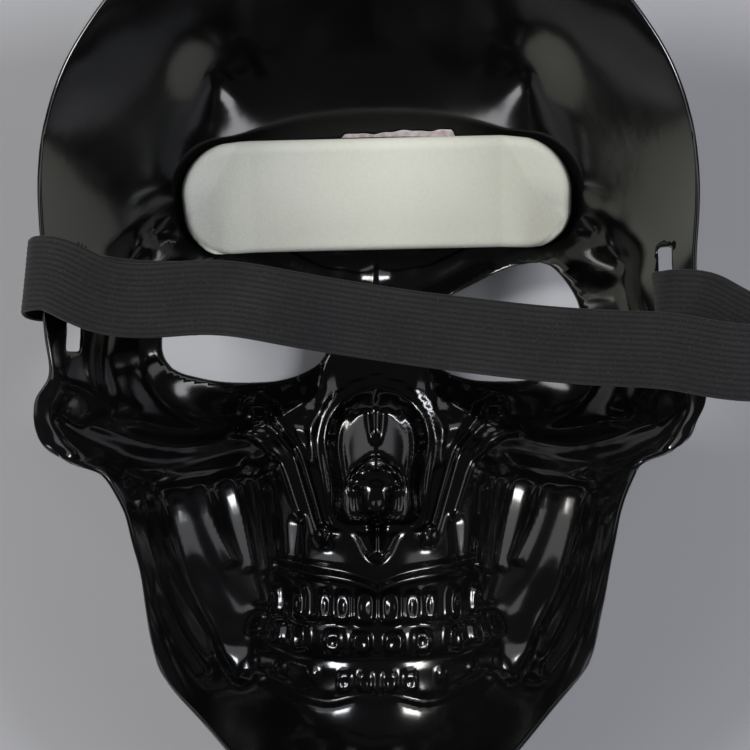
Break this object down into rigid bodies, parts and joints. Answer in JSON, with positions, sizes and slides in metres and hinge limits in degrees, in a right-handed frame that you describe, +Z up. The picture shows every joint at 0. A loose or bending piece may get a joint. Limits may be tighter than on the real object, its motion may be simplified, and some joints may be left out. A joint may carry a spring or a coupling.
{
  "type": "skull mask",
  "caption": "Rigid one-piece skull face mask, lying face down, with cut eye holes, a foam forehead pad and an elastic strap through temple slots.",
  "frame": {"origin": "middle of the base of the box round the whole mask and strap, on the surface that the mask lies on", "axes": "+Z up, out of the hollow towards the wearer's head; +Y along the skull towards its crown; +X to the right in the picture's view"},
  "size_m": [0.2034, 0.2622, 0.1076],
  "materials": {
    "shell_plastic": "glossy moulded black",
    "pad_foam": "fine open-cell foam, off-white",
    "tape_film": "thin pale adhesive film",
    "strap_elastic": "ribbed woven elastic, black"
  },
  "bodies": {
    "root": {"mask_shell": "shell_plastic", "forehead_pad": "pad_foam", "pad_tape": "tape_film", "head_strap": "strap_elastic"}
  },
  "joints": []
}
